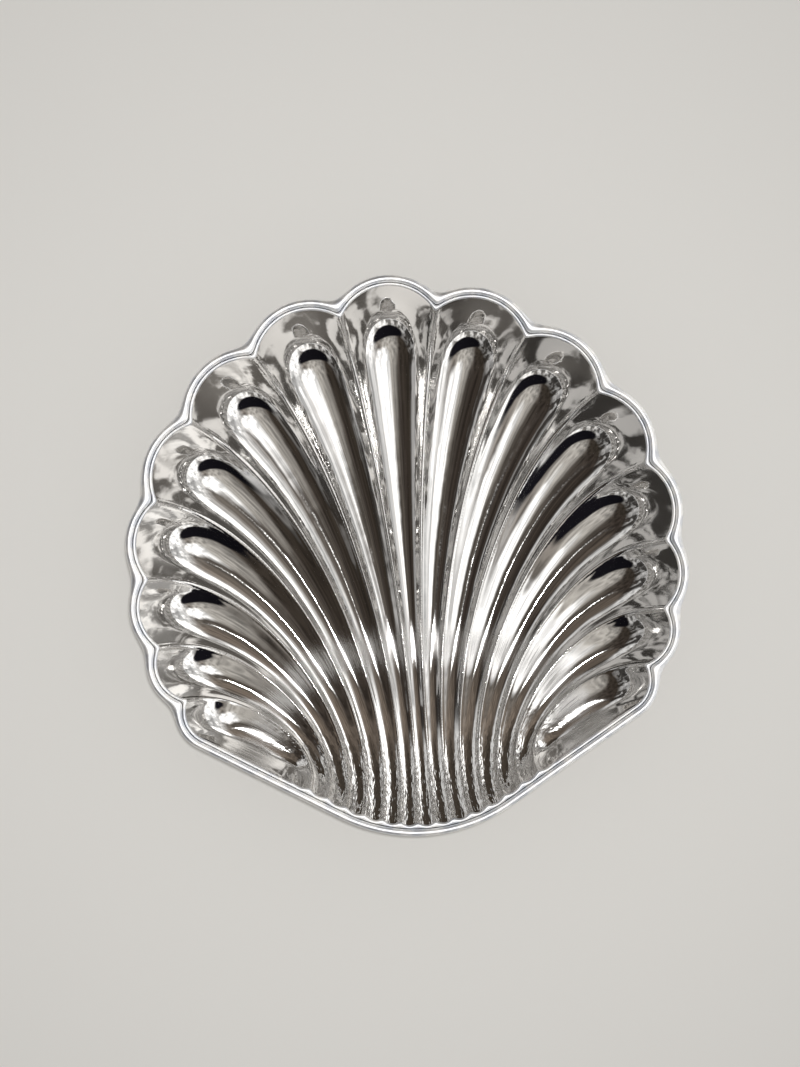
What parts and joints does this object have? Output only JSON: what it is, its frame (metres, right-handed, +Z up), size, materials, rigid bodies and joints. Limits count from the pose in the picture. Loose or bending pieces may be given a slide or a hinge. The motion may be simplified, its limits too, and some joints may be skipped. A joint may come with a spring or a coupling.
{
  "type": "scallop shell dish",
  "caption": "Shallow scallop-shell dish in polished silver plate with fluted bowl, moulded border wire and ball feet, for butter, sweets or trinkets.",
  "frame": {"origin": "on the plane the feet stand on, under the middle of the dish's length and width", "axes": "+Z up out of the bowl, +Y from the narrow hinge end to the wide scalloped end, +X across the flutes, so YZ is the mirror plane"},
  "size_m": [0.1288, 0.129, 0.031],
  "materials": {
    "polished_plate": "mirror-polished silver plate with fine handling scratches",
    "rim_plate": "polished silver plate, slightly mottled with tarnish",
    "foot_plate": "polished silver plate, a little duller than the bowl"
  },
  "bodies": {
    "root": {"bowl": "polished_plate", "rim_wire": "rim_plate", "foot_hinge": "foot_plate", "foot_left": "foot_plate", "foot_right": "foot_plate"}
  },
  "joints": []
}
